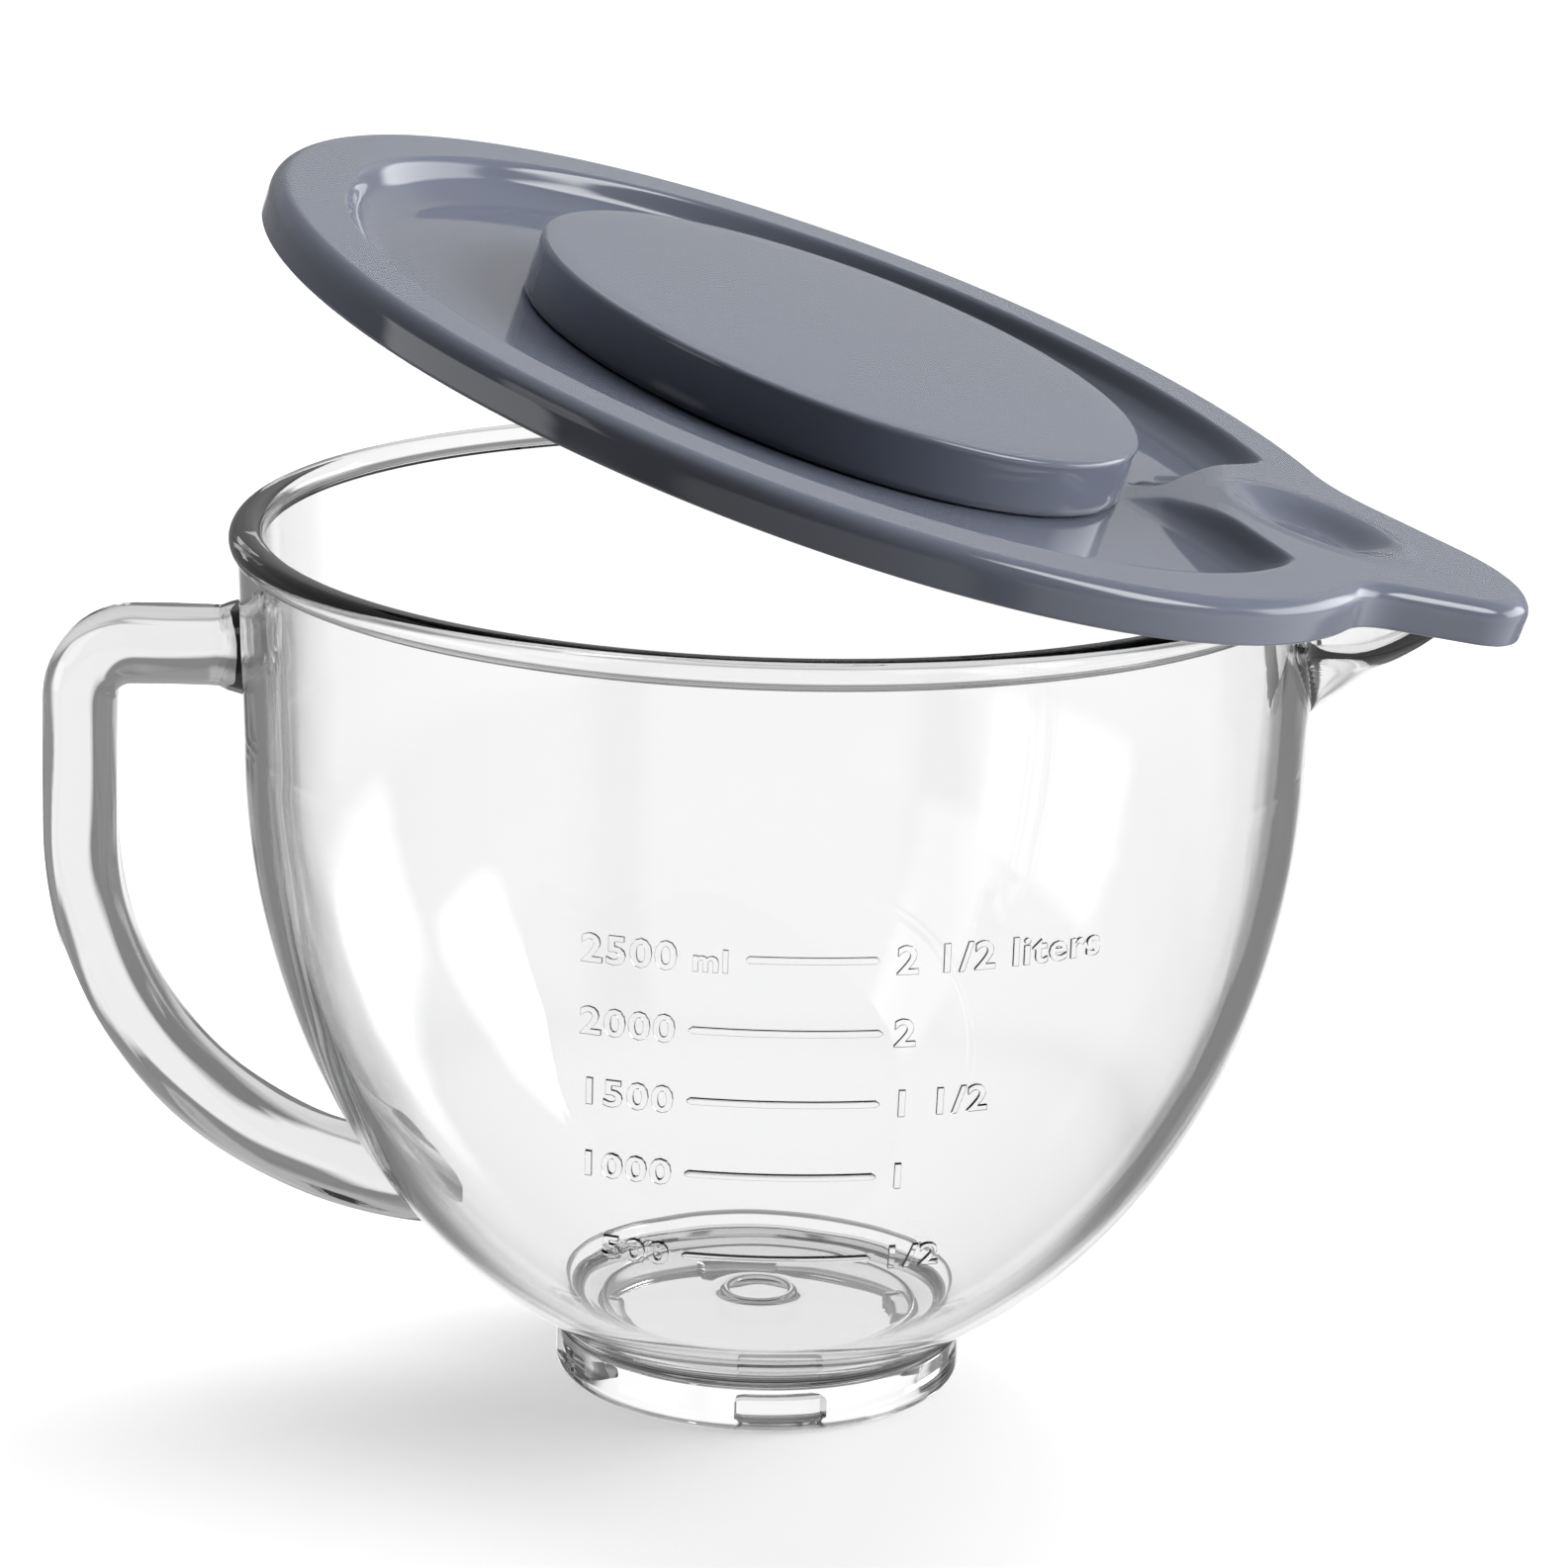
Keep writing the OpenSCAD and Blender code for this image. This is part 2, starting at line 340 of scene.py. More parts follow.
def lip_height(angle):
    """Height of the glass's top edge: level all round, and falling along the spout."""
    if abs(angle) > SPOUT_HALF:
        return RIM_Z
    edge = pointed_outline(angle, SPOUT_TIP, SPOUT_TIP_R, SPOUT_SIDE)
    x = edge * math.cos(angle)
    y = abs(edge * math.sin(angle))
    return soft_min(RIM_Z, lip_plane(x, y), LIP_CORNER)


def glass_radius(angle, wall_z, spout_z, depth):
    """Distance from the axis to the wall and spout together, depth inside the outer surface."""
    spout = spout_radius(angle, spout_z, min(depth, SPOUT_WALL))
    return soft_max(wall_radius(wall_z, depth), spout, SPOUT_BLEND)


def glass_point(angle, z, depth):
    """A point of the glass at a nominal height, depth inside the outer surface."""
    top = lip_height(angle)
    z = z if z < WAIST_Z else lerp(WAIST_Z, top, (z - WAIST_Z) / (RIM_Z - WAIST_Z))
    r = glass_radius(angle, z, z, depth)
    return r * math.cos(angle), r * math.sin(angle), z


def foot_profile():
    """(radius, height) from the middle of the recess, round the foot, to the fillet under the wall."""
    ceiling = [(r, RECESS_H) for r in (CENTRE_R, 5, 10, 15, 20, 25, 30, 32.6)]
    corner = arc((FOOT_IN_R - RECESS_R, RECESS_H - RECESS_R), RECESS_R, 90, 0, 5)
    inner_edge = arc((FOOT_IN_R + 1.5, 1.5), 1.5, 180, 270, 6)
    outer_edge = arc((FOOT_R - FOOT_EDGE_R, FOOT_EDGE_R), FOOT_EDGE_R, 270, 360, 10)
    side = [(FOOT_R, 6.5), (FOOT_R, 9)]
    fillet = arc((FOOT_R + FOOT_FILLET_R, 11.3), FOOT_FILLET_R, 180, 128, 6)
    return ceiling + corner + [(FOOT_IN_R, 5)] + inner_edge + [(38.4, 0)] + outer_edge + side + fillet


def floor_profile(start_r):
    """(radius, height) from the foot of the inner wall to the middle of the floor, over the punt."""
    fillet = arc((start_r - 5.0, FLOOR_Z + FLOOR_FILLET_R), FLOOR_FILLET_R, -40, -90, 6)
    flat = [(r, FLOOR_Z) for r in (30, 25, 20, 15, 11, 8.4)]
    punt = arc((PUNT_R, FLOOR_Z - 0.1), 0.9, 20, 160, 6)
    return fillet + flat + punt + [(r, FLOOR_Z) for r in (5.5, 3, CENTRE_R)]


def rim_profile():
    """(distance out from the wall's surface, height) over the bead and down the lip inside it."""
    bead = arc((-BEAD_SUNK, RIM_Z - BEAD_R), BEAD_R, -68, 90, 14)
    lip = arc((-WALL + LIP_R, RIM_Z - LIP_R), LIP_R, 90, 180, 8)
    return [(out, min(z, RIM_Z)) for out, z in bead] + lip


def wall_heights():
    """Heights up the outer wall, heights back down the inner one, and that one's last radius."""
    first = dome_angle(WALL_FOOT_Z)
    last = dome_angle(FLOOR_Z + 3, WALL)
    dome_up = [dome(lerp(first, math.pi / 2, i / 60))[1] for i in range(60)]
    neck_up = [lerp(WAIST_Z, NECK_Z - 0.6, i / 55) for i in range(56)]
    neck_down = [lerp(RIM_Z - LIP_R, WAIST_Z, i / 55) for i in range(1, 56)]
    dome_down = [dome(lerp(math.pi / 2, last, i / 55), WALL)[1] for i in range(1, 56)]
    return dome_up + neck_up, neck_down + dome_down, dome(last, WALL)[0]


def rim_point(angle, out, z):
    """A point of the rounded top edge. Around the bowl it is a rolled bead; on the spout a plain lip."""
    top = lip_height(angle)
    plain = 1 - smooth(*BEAD_FADE, abs(angle))
    inner = glass_radius(angle, NECK_Z, top - 3, WALL)
    outer = glass_radius(angle, NECK_Z, top - 3, 0)
    share = (out + WALL) / (WALL + BEAD_R - BEAD_SUNK)
    plain_r = lerp(inner, outer, min(1.0, max(0.0, share)))
    plain_z = top - (RIM_Z - z) * 0.75
    r = lerp(wall_radius(NECK_Z) + out, plain_r, plain)
    return r * math.cos(angle), r * math.sin(angle), lerp(z - RIM_Z + top, plain_z, plain)


def make_bowl():
    """The pressed glass with its foot and spout, as rings from the recess round to the floor."""
    turns = azimuths(fine=130, coarse=230, window=30)
    up, down, floor_r = wall_heights()

    def circle(r, z):
        return [(r * math.cos(angle), r * math.sin(angle), z) for angle in turns]

    rings = [circle(r, z) for r, z in foot_profile()]
    rings += [[glass_point(angle, z, 0) for angle in turns] for z in up]
    rings += [[rim_point(angle, out, z) for angle in turns] for out, z in rim_profile()]
    rings += [[glass_point(angle, z, WALL) for angle in turns] for z in down]
    rings += [circle(r, z) for r, z in floor_profile(floor_r)]
    return tube("glass_body", rings)


# ---------------------------------------------------------------- glass: handle, lugs and scale


def handle_path():
    """(x, z, heading) along the middle of the bar, from the upper root to the lower one."""
    inner = GRIP_X - CORNER_R
    path = [(lerp(-ROOT_X, -inner, i / 15), ARM_Z, math.pi) for i in range(16)]
    for i in range(1, 13):
        turn = math.radians(90 * i / 12)
        x = -inner - CORNER_R * math.sin(turn)
        z = ARM_Z - CORNER_R + CORNER_R * math.cos(turn)
        path.append((x, z, math.pi + turn))
    for i in range(1, 8):
        path.append((-GRIP_X, lerp(ARM_Z - CORNER_R, BEND_Z, i / 8), 1.5 * math.pi))
    radius = GRIP_X - BEND_X
    for i in range(48):
        turn = math.radians(BEND_TURN * i / 47)
        x = -BEND_X - radius * math.cos(turn)
        z = BEND_Z - radius * math.sin(turn)
        path.append((x, z, 1.5 * math.pi + turn))
    return path


def bar_section(width, thick, corners=48, power=3.0):
    """A rounded rectangle, as a superellipse."""
    section = []
    for i in range(corners):
        a = 2 * math.pi * i / corners
        across = math.copysign(abs(math.cos(a)) ** (2 / power), math.cos(a)) * width / 2
        through = math.copysign(abs(math.sin(a)) ** (2 / power), math.sin(a)) * thick / 2
        section.append((across, through))
    return section


def collar_swell(from_wall):
    """How far the bar swells by the wall: a rounded collar, and a fillet where it meets the wall."""
    ring = COLLAR_H * math.exp(-(((from_wall - COLLAR_X) / COLLAR_W) ** 2))
    fillet = 1.9 * math.exp(-max(0.0, from_wall + 0.6) / 0.8)
    return ring + fillet


def hand_wave(i, along):
    """A slight unevenness of the bar's surface, round it and along it."""
    return 1 + HANDLE_WAVE * math.sin(0.5 * i + 0.13 * along) * math.sin(0.9 * i - 0.05 * along)


def stop_in_wall(rings):
    """Ends every strand of the bar at the point where it has entered the glass wall."""
    middle = len(rings) // 2
    for strand in range(len(rings[0])):
        for order in (range(middle, -1, -1), range(middle, len(rings))):
            stop = None
            for i in order:
                x, y, z = rings[i][strand]
                if stop is None and math.hypot(x, y) < wall_radius(z, WALL * 0.5):
                    stop = rings[i][strand]
                if stop is not None:
                    rings[i][strand] = stop


def make_handle():
    """The bar, swollen into a collar at its upper root and thicker at its lower one."""
    path = handle_path()
    length = [0.0]
    for (ax, az, _), (bx, bz, _) in zip(path, path[1:]):
        length.append(length[-1] + math.hypot(bx - ax, bz - az))
    rings = []
    for (x, z, heading), along in zip(path, length):
        collar = collar_swell(-x - BOWL_R) if along < 40 else 0.0
        root = smooth(length[-1] - 46, length[-1] - 4, along)
        width = BAR_W + 2 * collar + 2.5 * root
        thick = BAR_T + 2 * collar + 3.0 * root
        ring = []
        for i, (across, through) in enumerate(bar_section(width, thick)):
            wave = hand_wave(i, along)
            out = through * wave
            ring.append((x + math.sin(heading) * out, across * wave, z - math.cos(heading) * out))
        rings.append(ring)
    stop_in_wall(rings)
    return tube("handle_bar", rings, 0.02)


def make_lug(turn):
    """One bayonet lug inside the foot ring: a block with rounded edges."""
    low, high = LUG_Z
    bar = bar_section(LUG_W, high - low, corners=24, power=5)
    rings = []
    for i in range(13):
        angle = turn + lerp(-LUG_HALF, LUG_HALF, i / 12)
        squeeze = 1.0 if 0 < i < 12 else 0.86
        ring = []
        for across, through in bar:
            r = LUG_IN_R + LUG_W / 2 + across * squeeze
            ring.append((r * math.cos(angle), r * math.sin(angle), (low + high) / 2 + through * squeeze))
        rings.append(ring)
    return tube("lug", rings)


SCALE = (
    # height, half length of the line, its middle, left label, right label
    (55.2, 19, 1.2, "500", "1/2"),
    (76.2, 19, 1.2, "1000", "1"),
    (93.3, 19, 1.2, "1500", "1 1/2"),
    (109.0, 19, 1.2, "2000", "2"),
    (124.5, 13, 6.0, "2500", "2 1/2 liters"),
)
FRONT = -math.pi / 2


def on_wall(along, z, out):
    """A point on the front of the bowl: along the wall from the front line, and out of it."""
    t = dome_angle(z)
    r, height = dome(t, -out)
    angle = FRONT + along / dome(t)[0]
    return r * math.cos(angle), r * math.sin(angle), height


def make_line(z, half, middle):
    """A raised line with a flat top and round ends."""
    steps = 48
    rings = []
    for i in range(steps + 1):
        along = lerp(-half, half, i / steps)
        near_end = max(0.0, abs(along) - (half - LINE_T / 2)) / (LINE_T / 2)
        tall = LINE_T * math.sqrt(max(0.02, 1 - near_end**2))
        bar = bar_section(tall, 2 * PROUD, corners=20, power=5)
        rings.append([on_wall(middle + along, z + up, max(out, -0.3)) for up, out in bar])
    return tube("line", rings)


def make_label(text, size, start, z, end=None):
    """Raised generic numerals wrapped onto the wall, from start, or back from end."""
    curve = bpy.data.curves.new("label", "FONT")
    curve.body = text
    curve.size = size
    curve.extrude = PROUD - LETTER_BEVEL
    curve.bevel_depth = LETTER_BEVEL
    curve.bevel_resolution = 0
    curve.offset = LETTER_GROWTH
    curve.resolution_u = 3
    curve.space_character = LETTER_SPREAD
    flat = bpy.data.objects.new("label", curve)
    bpy.context.scene.collection.objects.link(flat)
    depsgraph = bpy.context.evaluated_depsgraph_get()
    mesh = bpy.data.meshes.new_from_object(flat.evaluated_get(depsgraph))
    bpy.data.objects.remove(flat)
    wide = max(vertex.co.x for vertex in mesh.vertices) * LETTER_SPREAD
    left = start if end is None else end - wide
    for vertex in mesh.vertices:
        x, y, out = vertex.co
        point = on_wall(left + x * LETTER_SPREAD, z + y - size * 0.35, out)
        vertex.co = [value * MM for value in point]
    obj = bpy.data.objects.new("label", mesh)
    bpy.context.scene.collection.objects.link(obj)
    return clean(obj)


def make_scale():
    raised = []
    for z, half, middle, left, right in SCALE:
        raised.append(make_line(z, half, middle))
        raised.append(make_label(left, LETTER_H, 0, z, end=LEFT_LABEL_END))
        raised.append(make_label(right, LETTER_H, RIGHT_LABEL_START, z))
    raised.append(make_label("ml", SMALL_LETTER_H, -17.5, 124.0))
    return raised


# ---------------------------------------------------------------- lid


def cove(t):
    """1 at the top of a moulded wall and 0 at its foot: a tight shoulder, then a long hollow curve."""
    t = min(1.0, max(0.0, t))
    return 1 - smooth(0, 0.28, t) * (1 - (1 - t) ** 2.6)


def tongue(x, y):
    """0 to 1 up the tongue that climbs from the pan to the beak and widens as it goes."""
    half = TONGUE_HALF + TONGUE_SPREAD * max(0.0, x - TONGUE_X)
    return smooth(*TONGUE_CLIMB, x) * cove((abs(y) - half) / TONGUE_COVE)


def drop_mark(x, y):
    """0 to 1 inside a small drop-shaped mark beside the tongue's root."""
    dx, dy = x - DROP_START[0], y - DROP_START[1]
    along = dx * DROP_WAY[0] + dy * DROP_WAY[1]
    across = abs(dx * DROP_WAY[1] - dy * DROP_WAY[0])
    if not 0 < along < DROP_LENGTH:
        return 0.0
    widest = DROP_LENGTH / 3
    if along < widest:
        half = DROP_HALF * math.sqrt(along / widest)
    else:
        half = DROP_HALF * (DROP_LENGTH - along) / (DROP_LENGTH - widest)
    return smooth(half + 0.4, half - 0.4, across)


def lid_top(x, y):
    """Height of the lid's upper surface over a point, from its top plane."""
    pan = 1 - cove((PAN_R - math.hypot(x, y)) / PAN_COVE)
    height = -PAN_H * pan * (1 - tongue(x, y)) - DROP_H * drop_mark(x, y)
    # thumb dimple with a faint raised edge
    away = math.hypot((x - DIMPLE_X) / DIMPLE_RX, y / DIMPLE_RY)
    height -= DIMPLE_H * smooth(1.0, 0.4, away)
    height += 0.25 * math.exp(-(((away - 1.06) / 0.1) ** 2))
    return height


def lid_outline(turns):
    """(x, y, normal x, normal y) round the lid's edge, beak and notches included."""
    edge = []
    for angle in turns:
        r = LID_R
        if abs(angle) < math.radians(40):
            beak = pointed_outline(angle, BEAK_REACH, BEAK_TIP_R, BEAK_SIDE)
            r = soft_max(LID_R, beak, NOTCH_SOFT)
        edge.append((r * math.cos(angle), r * math.sin(angle)))
    outline = []
    for i, (x, y) in enumerate(edge):
        before, after = edge[i - 1], edge[(i + 1) % len(edge)]
        dx, dy = after[0] - before[0], after[1] - before[1]
        size = math.hypot(dx, dy)
        outline.append((x, y, dy / size, -dx / size))
    return outline


def make_lid_shell():
    """Rings from the pan's middle out over the top, round the skirt, and back along the underside."""
    turns = azimuths(fine=220, coarse=300, window=34)
    outline = lid_outline(turns)
    spread = 110

    def circle(r, h):
        return [(r * math.cos(angle), r * math.sin(angle), h) for angle in turns]

    def inset(depth, h):
        return [(x - across * depth, y - along * depth, h) for x, y, across, along in outline]

    def between(share, depth):
        """Points from just inside the cap's edge (share 0) to an inset of the lid's (share 1)."""
        start = circle(SHEET_R, 0)
        end = inset(depth, 0)
        return [(lerp(a[0], b[0], share), lerp(a[1], b[1], share)) for a, b in zip(start, end)]

    def top(share):
        return [(x, y, lid_top(x, y)) for x, y in between(share, EDGE_R)]

    def under(share):
        """The top surface's own shape, one thickness lower, its walls moved out by a little less."""
        ring = []
        for x, y in between(share, LID_T + 3):
            r = math.hypot(x, y)
            pull = (r - 2.2 * smooth(90, 96, r)) / r
            ring.append((x, y, lid_top(x * pull, y * pull) - LID_T))
        return ring

    rounded_edge = arc((EDGE_R, -EDGE_R), EDGE_R, 100, 180, 9)
    skirt = [(0, -5.0), (0, -6.5), (0, -8.2)]
    skirt += arc((0.8, -SKIRT_H + 0.8), 0.8, 190, 260, 4)
    skirt += arc((LID_T - 0.6, -SKIRT_H + 0.6), 0.6, 280, 360, 4)
    inside = [(LID_T, -6), (LID_T, -4.2), (LID_T + 0.5, -3.1), (LID_T + 1.6, -LID_T)]
    rings = [circle(r, -PAN_H) for r in (CENTRE_R, 15, 30, 45, CAP_R - 8)]
    rings += [top(i / spread) for i in range(spread + 1)]
    rings += [inset(depth, h) for depth, h in rounded_edge + skirt + inside]
    rings += [under(i / spread) for i in range(spread, -1, -1)]
    rings += [circle(r, -PAN_H - LID_T) for r in (CAP_R - 8, 30, CENTRE_R)]
    return tube("lid_moulding", rings)


def make_cap():
    """The knob's disc: a shallow cup, crowned a little, with a crisp rounded edge."""
    side_top = CAP_TOP - CAP_CROWN - CAP_EDGE_R
    top = [(r, CAP_TOP - CAP_CROWN * (r / CAP_R) ** 2) for r in (CENTRE_R, 10, 20, 30, 40, 50, 58)]
    edge = arc((CAP_R - CAP_EDGE_R, side_top), CAP_EDGE_R, 90, 0, 8)
    side = [(CAP_R, h) for h in (3, 1, -2, -5, CAP_BOTTOM + 0.5)] + [(CAP_R - 0.5, CAP_BOTTOM)]
    inside = [(CAP_R - LID_T, CAP_BOTTOM), (CAP_R - LID_T, CAP_TOP - LID_T - 1.4)]
    roof = [(r, CAP_TOP - LID_T - 0.4) for r in (CAP_R - LID_T - 1, 40, 20, CENTRE_R)]
    turns = [2 * math.pi * i / 256 for i in range(256)]
    section = top + edge + side + inside + roof
    rings = [[(r * math.cos(turn), r * math.sin(turn), h) for turn in turns] for r, h in section]
    return tube("knob_cap", rings)


def open_lid(obj):
    """Moves a mesh drawn about the lid's own centre to the lid at rest."""
    place = (
        Matrix.Translation(HINGE)
        @ Matrix.Rotation(LID_OPEN, 4, HINGE_AXIS)
        @ Matrix.Translation(-HINGE)
        @ Matrix.Translation((0, 0, LID_TOP_Z * MM))
    )
    obj.data.transform(place)
    return obj


# ---------------------------------------------------------------- materials


def new_material(name):
    material = bpy.data.materials.new(name)
    material.use_nodes = True
    nodes = material.node_tree.nodes
    return material, nodes, material.node_tree.links, nodes["Principled BSDF"]


def noise(nodes, scale, detail=2.0, roughness=0.5):
    texture = nodes.new("ShaderNodeTexNoise")
    texture.inputs["Scale"].default_value = scale
    texture.inputs["Detail"].default_value = detail
    texture.inputs["Roughness"].default_value = roughness
    return texture


def mapped(nodes, links, source, low, high):
    """A 0 to 1 output spread over low to high."""
    spread = nodes.new("ShaderNodeMapRange")
    spread.inputs["To Min"].default_value = low
    spread.inputs["To Max"].default_value = high
    links.new(source, spread.inputs["Value"])
    return spread.outputs["Result"]


def glass_material():
    """Pressed clear glass: slow ripples in the surface and a trace of handling marks."""
    material, nodes, links, shader = new_material("clear_glass")
    shader.inputs["Base Color"].default_value = (0.995, 0.995, 0.995, 1)
    shader.inputs["Transmission Weight"].default_value = 1.0
    shader.inputs["IOR"].default_value = 1.5
    coordinates = nodes.new("ShaderNodeTexCoord")
    ripples = noise(nodes, 22.0, 1.5)
    links.new(coordinates.outputs["Object"], ripples.inputs["Vector"])
    bump = nodes.new("ShaderNodeBump")
    bump.inputs["Strength"].default_value = 0.35
    bump.inputs["Distance"].default_value = 0.0006
    links.new(ripples.outputs["Fac"], bump.inputs["Height"])
    links.new(bump.outputs["Normal"], shader.inputs["Normal"])
    marks = noise(nodes, 90.0, 4.0)
    links.new(coordinates.outputs["Object"], marks.inputs["Vector"])
    links.new(mapped(nodes, links, marks.outputs["Fac"], 0.0, 0.02), shader.inputs["Roughness"])
    body = nodes.new("ShaderNodeVolumeAbsorption")
    body.inputs["Color"].default_value = (0.50, 0.505, 0.505, 1)
    body.inputs["Density"].default_value = 27.0
    links.new(body.outputs["Volume"], nodes["Material Output"].inputs["Volume"])
    return material


def plastic_material():
    """Glossy blue-grey moulded plastic with a fine orange-peel skin and faint rub marks."""
    material, nodes, links, shader = new_material("lid_plastic")
    shader.inputs["IOR"].default_value = 1.49
    coordinates = nodes.new("ShaderNodeTexCoord")
    clouds = noise(nodes, 14.0, 3.0)
    links.new(coordinates.outputs["Object"], clouds.inputs["Vector"])
    tint = nodes.new("ShaderNodeMix")
    tint.data_type = "RGBA"
    tint.inputs["A"].default_value = (0.090, 0.099, 0.131, 1)
    tint.inputs["B"].default_value = (0.099, 0.109, 0.143, 1)
    links.new(clouds.outputs["Fac"], tint.inputs["Factor"])
    links.new(tint.outputs["Result"], shader.inputs["Base Color"])
    rubs = noise(nodes, 160.0, 5.0, 0.65)
    links.new(coordinates.outputs["Object"], rubs.inputs["Vector"])
    links.new(mapped(nodes, links, rubs.outputs["Fac"], 0.02, 0.07), shader.inputs["Roughness"])
    peel = noise(nodes, 520.0, 1.0)
    links.new(coordinates.outputs["Object"], peel.inputs["Vector"])
    bump = nodes.new("ShaderNodeBump")
    bump.inputs["Strength"].default_value = 0.01
    bump.inputs["Distance"].default_value = 0.0001
    links.new(peel.outputs["Fac"], bump.inputs["Height"])
    links.new(bump.outputs["Normal"], shader.inputs["Normal"])
    return material


def set_material(obj, material):
    obj.data.materials.clear()
    obj.data.materials.append(material)


# ---------------------------------------------------------------- studio


BOUNCES = 24
CAMERA_WHITE = 1.1
FLOOR_REACH = 8000.0
FLOOR_TONE = 0.6
FLOOR_GLOW = 0.5


def make_floor():
    """A plain pale floor. Glass and gloss see the studio's own white instead of it."""
    corners = [(x * FLOOR_REACH, y * FLOOR_REACH, 0) for x, y in ((-1, -1), (1, -1), (1, 1), (-1, 1))]
    floor = mesh_object("floor", corners, [(0, 1, 2, 3)])
    floor.visible_transmission = False
    floor.visible_glossy = False
    floor.visible_diffuse = False
    material, nodes, links, shader = new_material("floor")
    shader.inputs["Base Color"].default_value = (FLOOR_TONE, FLOOR_TONE, FLOOR_TONE, 1)
    shader.inputs["Roughness"].default_value = 0.9
    shader.inputs["Specular IOR Level"].default_value = 0.0
    shader.inputs["Emission Color"].default_value = (1, 1, 1, 1)
    shader.inputs["Emission Strength"].default_value = FLOOR_GLOW
    set_material(floor, material)


# What glass and gloss see of the studio. Each patch is (azimuth, width, elevation, height, soft
# edge, light), in degrees, with azimuth 0 behind the bowl (+Y) and 90 beyond its spout (+X).
ALL_ROUND = 400
GLOSS_BASE = 0.28
GLOSS_PATCHES = (
    # white sweep behind the bowl, and wide white flats to its sides and in front
    (3.5, 33, -22, 34, 4, 1.16),
    (94, 92, -22, 34, 6, 1.05),
    (-94, 92, -22, 34, 10, 0.9),
    (180, 60, -22, 34, 5, 0.9),
    # white floor below, and a grey ceiling
    (0, ALL_ROUND, -74, 72, 8, 0.92),
    (0, ALL_ROUND, 80, 30, 10, 0.5),
    # lamps on the right, which draw the streaks along the lid's edge
    (92, 22, 32, 34, 4, 9.0),
    (56, 36, 5, 18, 4, 3.5),
    # windows to the front left
    (-130, 24, 30, 40, 3, 1.6),
    (-105, 42, 4, 22, 3, 2.5),
    # back wall above the horizon, brighter where the lid's top mirrors it
    (0, ALL_ROUND, 16, 22, 8, 0.35),
    (17, 46, 14, 20, 6, 0.54),
)

# What lights the lid and the floor
MATT_BASE = 0.03
MATT_PATCHES = (
    # high behind, and lamps on the right, above and below the horizon
    (0, 120, 55, 40, 8, 5.0),
    (82, 44, 10, 44, 10, 15.0),
    (100, 50, -34, 34, 8, 4.0),
    # weaker fill from the front left and from low behind
    (-105, 50, 8, 30, 10, 2.5),
    (0, 120, 25, 50, 15, 0.7),
)


def math_node(nodes, links, operation, *values):
    node = nodes.new("ShaderNodeMath")
    node.operation = operation
    for i, value in enumerate(values):
        if isinstance(value, (int, float)):
            node.inputs[i].default_value = value
        else:
            links.new(value, node.inputs[i])
    return node.outputs[0]


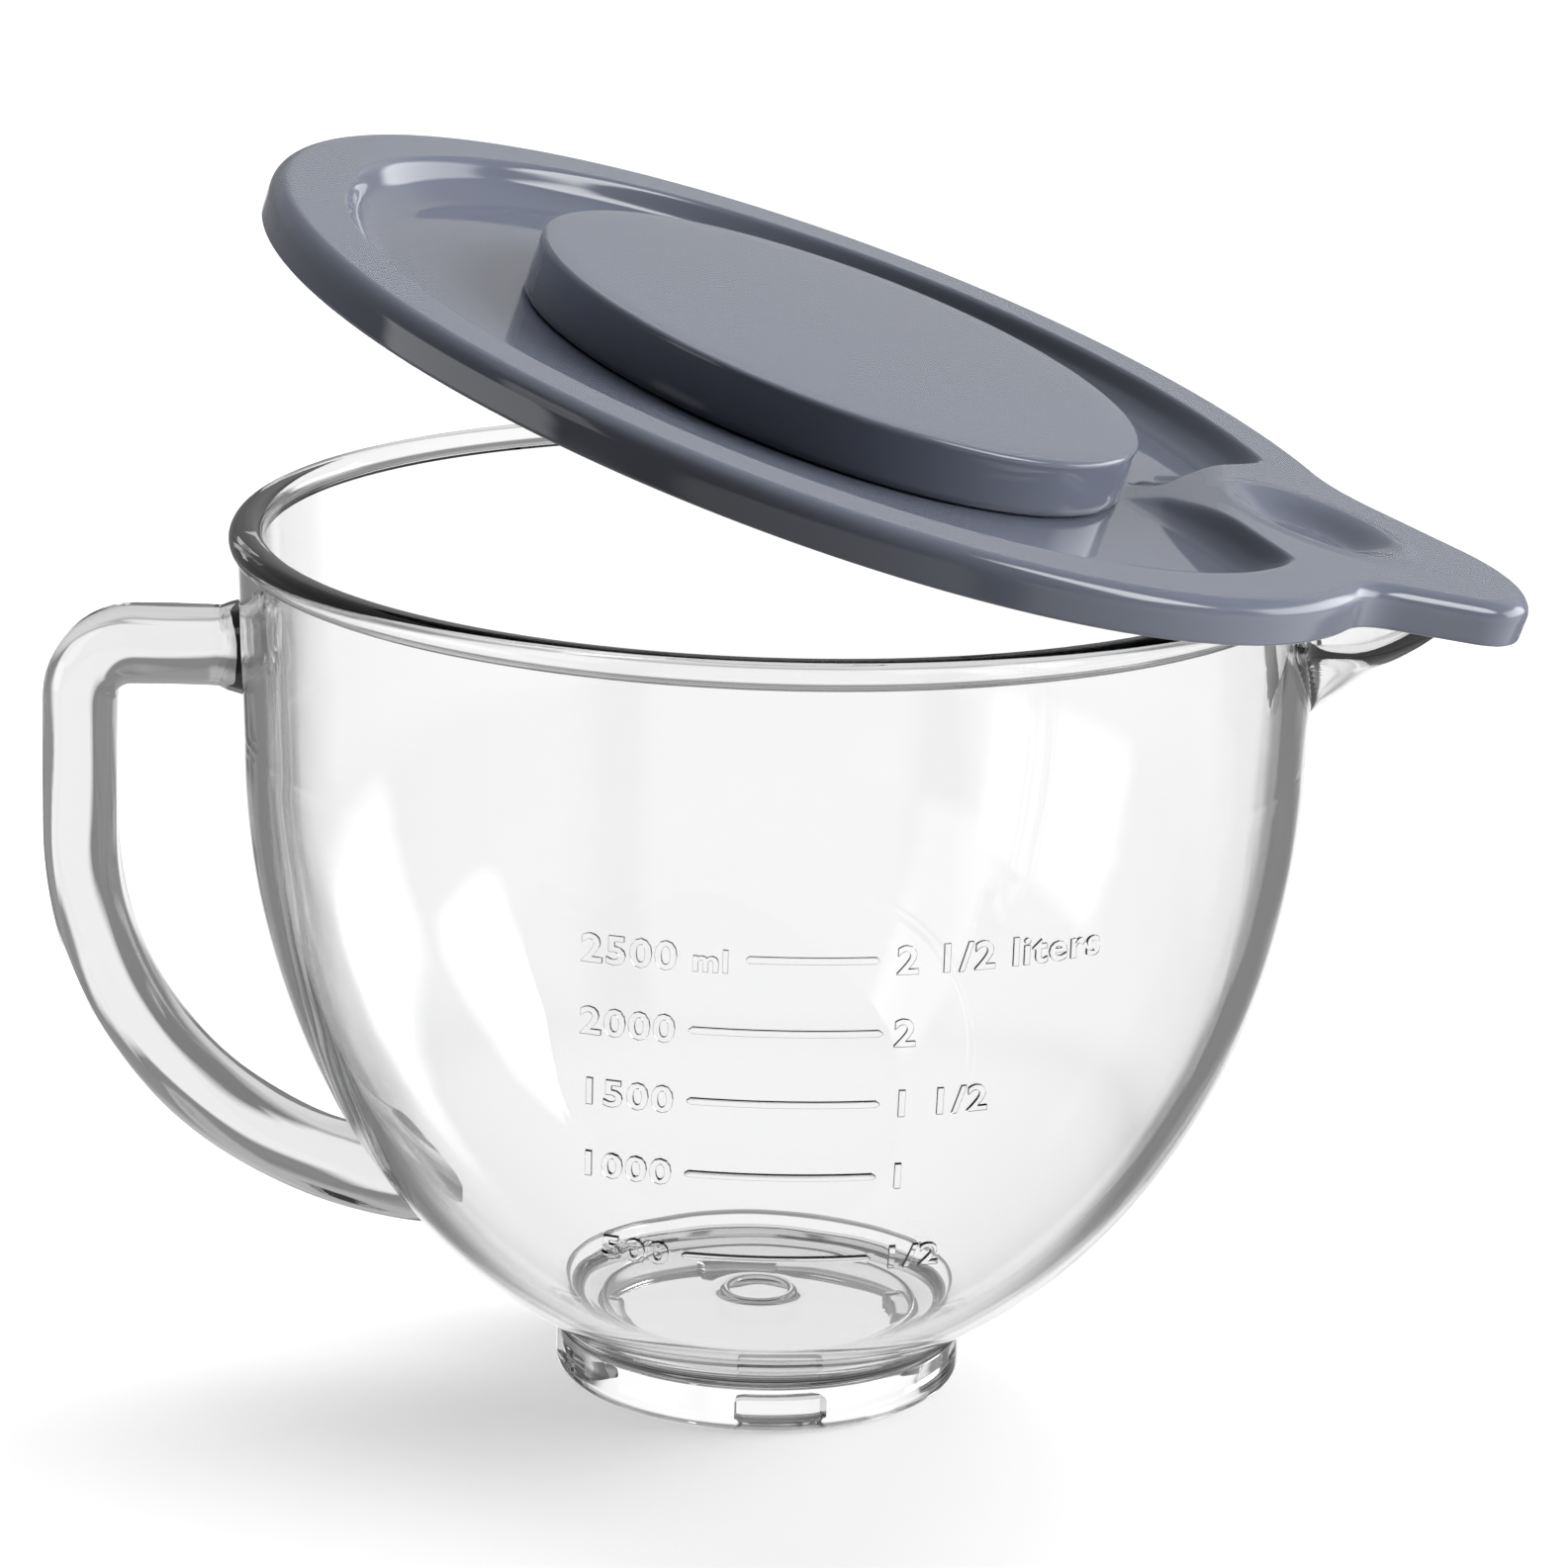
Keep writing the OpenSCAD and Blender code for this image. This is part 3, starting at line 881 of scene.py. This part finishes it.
def make_world():
    """White to the camera; to everything else a dark studio with soft-edged patches of light."""
    world = bpy.data.worlds.new("studio")
    bpy.context.scene.world = world
    world.use_nodes = True
    # every kind of ray has to find the light for itself
    world.cycles.sampling_method = "NONE"
    nodes, links = world.node_tree.nodes, world.node_tree.links

    def calc(operation, *values):
        return math_node(nodes, links, operation, *values)

    direction = nodes.new("ShaderNodeSeparateXYZ")
    links.new(nodes.new("ShaderNodeTexCoord").outputs["Generated"], direction.inputs[0])
    x, y, z = direction.outputs
    azimuth = calc("DEGREES", calc("ARCTAN2", x, y))
    elevation = calc("DEGREES", calc("ARCSINE", z))

    def edge(distance, size, soft):
        """1 within half the size of the middle, falling to 0 over a soft edge."""
        ramp = nodes.new("ShaderNodeMapRange")
        ramp.interpolation_type = "SMOOTHSTEP"
        ramp.inputs["From Min"].default_value = size / 2 + soft
        ramp.inputs["From Max"].default_value = size / 2 - soft
        links.new(distance, ramp.inputs["Value"])
        return ramp.outputs["Result"]

    def lit_by(base, patches):
        light = base
        for middle, width, height_middle, height, soft, strength in patches:
            turned = calc("ABSOLUTE", calc("WRAP", calc("SUBTRACT", azimuth, middle), 180, -180))
            raised = calc("ABSOLUTE", calc("SUBTRACT", elevation, height_middle))
            patch = calc("MULTIPLY", edge(turned, width, soft), edge(raised, height, soft))
            light = calc("MAXIMUM", light, calc("MULTIPLY", patch, strength))
        return light

    def choose(switch, when_on, when_off):
        choice = nodes.new("ShaderNodeMix")
        links.new(switch, choice.inputs["Factor"])
        for socket, value in ((choice.inputs["A"], when_off), (choice.inputs["B"], when_on)):
            if isinstance(value, float):
                socket.default_value = value
            else:
                links.new(value, socket)
        return choice.outputs["Result"]

    ray = nodes.new("ShaderNodeLightPath").outputs
    matt = lit_by(MATT_BASE, MATT_PATCHES)
    gloss = lit_by(GLOSS_BASE, GLOSS_PATCHES)
    seen = choose(ray["Is Diffuse Ray"], matt, gloss)
    strength = choose(ray["Is Camera Ray"], CAMERA_WHITE, seen)
    background = nodes["Background"]
    background.inputs["Color"].default_value = (1, 1, 1, 1)
    links.new(strength, background.inputs["Strength"])


def make_camera():
    """A long lens, a little over 15 degrees above the horizon and rolled slightly."""
    distance = 1.3195
    elevation = math.radians(15.42)
    azimuth = math.radians(1.5)
    roll = math.radians(1.73)
    target = Vector((0.0022, 0.0, 0.1295))
    back = Vector((
        -math.sin(azimuth) * math.cos(elevation),
        -math.cos(azimuth) * math.cos(elevation),
        math.sin(elevation),
    ))
    data = bpy.data.cameras.new("camera")
    data.sensor_width = 36
    data.lens = 144.2
    camera = bpy.data.objects.new("camera", data)
    bpy.context.scene.collection.objects.link(camera)
    camera.location = target + back * distance
    aim = back.to_track_quat("Z", "Y").to_matrix().to_4x4()
    camera.matrix_world = Matrix.Translation(camera.location) @ aim @ Matrix.Rotation(roll, 4, "Z")
    bpy.context.scene.camera = camera


def make_studio():
    """Camera, floor and light, with bounces enough for the thick glass."""
    make_camera()
    make_floor()
    make_world()
    scene = bpy.context.scene
    scene.view_settings.view_transform = "Standard"
    scene.cycles.max_bounces = BOUNCES
    scene.cycles.transmission_bounces = BOUNCES


# ---------------------------------------------------------------- everything together

make_studio()

clear_glass = glass_material()
lid_plastic = plastic_material()

lugs = [make_lug(FRONT + LUG_TURN + i * math.pi / 2) for i in range(4)]
body = joined(make_bowl(), [make_handle()] + lugs + make_scale())
shade(clean(body, 0.004), 32)
set_material(body, clear_glass)
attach(body, "bowl")
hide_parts("glass_bowl", "glass_foot", "foot_lugs", "glass_handle", "handle_collar", "volume_lines")

shell = open_lid(shade(make_lid_shell(), 50))
set_material(shell, lid_plastic)
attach(shell, "lid")
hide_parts("lid_shell")

cap = open_lid(shade(make_cap(), 50))
set_material(cap, lid_plastic)
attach(cap, "lid")
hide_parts("lid_cap")

set_material(frame["nodes"]["cap_clips"], lid_plastic)
